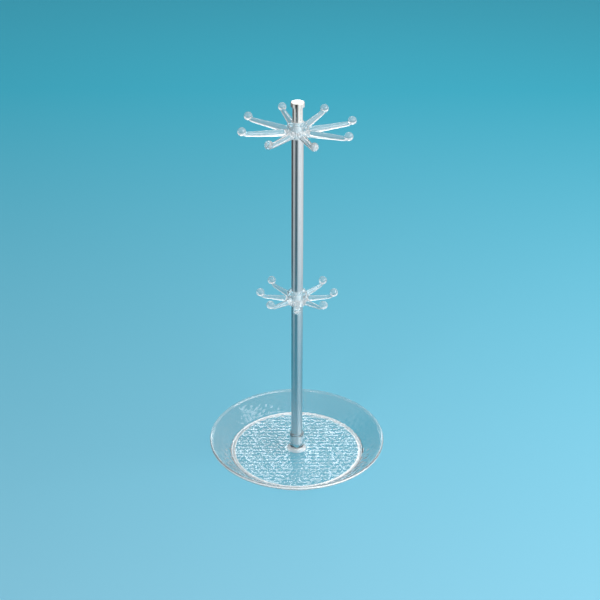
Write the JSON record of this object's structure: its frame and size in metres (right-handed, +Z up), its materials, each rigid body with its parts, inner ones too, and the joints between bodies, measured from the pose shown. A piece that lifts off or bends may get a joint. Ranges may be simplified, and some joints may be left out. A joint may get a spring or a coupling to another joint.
{
  "type": "jewelry stand",
  "caption": "Free-standing jewellery stand: a round clear dish, a slim steel post with tiers of clear turning hooks and a chromed finial.",
  "frame": {"origin": "centre of the stand on the table, under the middle of the dish", "axes": "+Z up the post, -Y to the front, where one arm of the middle tier points, +X to the right"},
  "size_m": [0.178, 0.178, 0.381],
  "materials": {
    "clear_plastic": "clear, glossy moulded plastic; the dish's floor is pebbled",
    "steel_tube": "finely brushed along its length",
    "zinc_steel": "zinc plated",
    "nylon": "natural nylon",
    "chrome": "polished chrome"
  },
  "bodies": {
    "stand": {"dish": "clear_plastic", "base_screw": "zinc_steel", "base_washer": "zinc_steel", "lower_tube": "steel_tube", "lower_tube_bottom_plug": "zinc_steel", "lower_tube_top_plug": "zinc_steel", "middle_tier_bush": "nylon", "middle_tier_washers": "nylon", "middle_tier_stud": "zinc_steel", "upper_tube": "steel_tube", "upper_tube_bottom_plug": "zinc_steel", "upper_tube_top_plug": "zinc_steel", "top_tier_bush": "nylon", "top_tier_washers": "nylon", "top_tier_stud": "zinc_steel", "finial": "chrome"},
    "middle_hooks": {"middle_tier": "clear_plastic"},
    "top_hooks": {"top_tier": "clear_plastic"}
  },
  "joints": [
    {"name": "middle_tier_turn", "type": "hinge", "parent": "stand", "child": "middle_hooks", "pos_m": [0, 0, 0.18245], "axis": [0, 0, 1], "continuous": true},
    {"name": "top_tier_turn", "type": "hinge", "parent": "stand", "child": "top_hooks", "pos_m": [0, 0, 0.35475], "axis": [0, 0, 1], "continuous": true}
  ]
}
